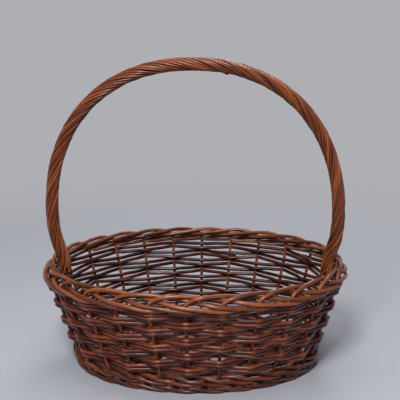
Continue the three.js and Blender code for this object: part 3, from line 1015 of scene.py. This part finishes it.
def rope_line(turn_start, radius, first, last, dice, splay):
    """A rod wound round the bow between two of its points, with a small wander of its own."""
    points = []
    ways_out = []
    phases = (dice.random(), dice.random())
    for i in range(first, last + 1):
        outer = FRONT.cross(Vector(handle_ways[i])).normalized()
        along = handle_along[i]
        sway = sum(
            size * math.sin(FULL_TURN * (along / length + phase))
            for (size, length), phase in zip(ROPE_SWAYS, phases)
        )
        turn = turn_start + (along / ROPE_PITCH) * FULL_TURN + sway
        lift = ROPE_LIFT * math.sin(FULL_TURN * (along / ROPE_LIFT_LENGTH + phases[1]))
        from_end = min(i - first, last - i) * HANDLE_STEP
        spread = splay * max(0, 1 - from_end / ROPE_SPLAY_LENGTH) ** 2
        way_out = outer * math.cos(turn) + FRONT * math.sin(turn)
        place = Vector(handle_line[i][:3]) + way_out * (ROPE_CENTRE_R + lift + spread)
        points.append((*place, radius))
        ways_out.append(way_out)
    return np.array(points), ways_out


def handle_rod(rod, length_number, first, last, splay):
    dice = random.Random(ROPE_SEED + rod)
    radius = ROPE_ROD_R * dice.uniform(*ROPE_THICKNESS)
    turn_start = rod / ROPE_RODS * FULL_TURN
    line, ways_out = rope_line(turn_start, radius, first, last, dice, splay)
    name = f"handle_rod_{length_number:02d}"
    stands_for = [f"handle_strand_{rod % CAD_STRANDS + 1:02d}"]
    willow_piece(handle_rod_kind, name, line, stands_for, dice, ways_out)


def underneath(rod, i):
    """How near a handle rod comes to the underside of the handle at one of its points."""
    return -math.cos(rod / ROPE_RODS * FULL_TURN + handle_along[i] / ROPE_PITCH * FULL_TURN)


roped = [i for i, p in enumerate(handle_line) if p[2] >= ROPE_FOOT_Z]
in_arch = [i for i in roped if handle_line[i][2] > ARCH_SPRING_Z]
tip = min(in_arch, key=lambda i: abs(handle_line[i][0] - TIP_X))
tipped_rod = max(range(ROPE_RODS), key=lambda rod: underneath(rod, tip))
for rod in range(ROPE_RODS):
    dice = random.Random(ROPE_END_SEED + rod)
    first = roped[0] + dice.randrange(*ROPE_END_SHIFTS)
    last = roped[-1] - dice.randrange(*ROPE_END_SHIFTS)
    splay = dice.uniform(*ROPE_SPLAY)
    if rod == tipped_rod:
        # This rod ends under the top of the handle, where its second length takes over
        handle_rod(rod, rod + 1, first, tip, TIP_SPLAY)
        handle_rod(rod, ROPE_RODS + 1, tip + 1, last, 0)
    else:
        handle_rod(rod, rod + 1, first, last, splay)


# Studio: a round seamless floor and wall, an even world and soft lamps
def paper():
    """Grey paper, lit near the basket and evenly bright away from it."""
    nodes = Nodes("grey_paper")
    nodes.feed("Base Color", PAPER)
    nodes.feed("Roughness", PAPER_ROUGHNESS)
    place = nodes.add("ShaderNodeTexCoord").outputs["Object"]
    distance = nodes.add("ShaderNodeVectorMath", {0: place}, operation="LENGTH").outputs["Value"]
    far = nodes.add(
        "ShaderNodeMapRange",
        {"Value": distance, "From Min": GLOW_FROM, "From Max": GLOW_FULL},
        interpolation_type="SMOOTHSTEP",
    ).outputs["Result"]
    rays = nodes.add("ShaderNodeLightPath").outputs
    seen = nodes.maths("MAXIMUM", rays["Is Camera Ray"], rays["Is Glossy Ray"])
    share = nodes.maths("MULTIPLY", far, seen)
    glow = nodes.add("ShaderNodeEmission", {"Color": PAPER_GLOW, "Strength": GLOW_STRENGTH})
    mixed = nodes.add("ShaderNodeMixShader", {0: share, 1: nodes.shader.outputs[0], 2: glow.outputs[0]})
    output = nodes.tree.nodes["Material Output"]
    nodes.tree.links.new(mixed.outputs[0], output.inputs["Surface"])
    return nodes.material


def make_studio():
    shape = bmesh.new()
    profile = [Vector((x, 0, 0)) for x in (0, FLOOR_MIDDLE, FLOOR_RADIUS)]
    for i in range(1, COVE_STEPS + 1):
        angle = i / COVE_STEPS * math.pi / 2
        profile.append(Vector((FLOOR_RADIUS + COVE * math.sin(angle), 0, COVE * (1 - math.cos(angle)))))
    profile.append(Vector((FLOOR_RADIUS + COVE, 0, WALL_TOP)))
    verts = [shape.verts.new(p) for p in profile]
    edges = [shape.edges.new(pair) for pair in zip(verts, verts[1:])]
    bmesh.ops.spin(
        shape, geom=verts + edges, cent=(0, 0, 0), axis=(0, 0, 1),
        angle=FULL_TURN, steps=FLOOR_TURN_STEPS, use_merge=True,
    )
    bmesh.ops.remove_doubles(shape, verts=shape.verts, dist=MERGE_M)
    bmesh.ops.recalc_face_normals(shape, faces=shape.faces)
    if min(shape.faces, key=lambda f: f.calc_center_median().length).normal.z < 0:
        bmesh.ops.reverse_faces(shape, faces=shape.faces)
    for face in shape.faces:
        face.smooth = True
    mesh = bpy.data.meshes.new("studio_floor")
    shape.to_mesh(mesh)
    shape.free()
    studio = bpy.data.objects.new("studio_floor", mesh)
    bpy.context.scene.collection.objects.link(studio)
    mesh.materials.append(paper())


def soft_lamp(name, place, size, power):
    data = bpy.data.lights.new(name, "AREA")
    data.shape = "DISK"
    data.size = size
    data.energy = power
    data.color = LAMP_COLOUR
    lamp = bpy.data.objects.new(name, data)
    bpy.context.scene.collection.objects.link(lamp)
    lamp.location = place
    lamp.rotation_euler = (Vector(LAMP_AIM) - Vector(place)).to_track_quat("-Z", "Y").to_euler()


def light_the_world():
    world = bpy.data.worlds.new("studio_light")
    world.use_nodes = True
    background = world.node_tree.nodes["Background"]
    background.inputs["Color"].default_value = WORLD_COLOUR
    background.inputs["Strength"].default_value = WORLD_STRENGTH
    bpy.context.scene.world = world


make_studio()
light_the_world()
for name, place, size, power in LAMPS:
    soft_lamp(name, place, size, power)
bpy.context.scene.view_settings.view_transform = "Standard"
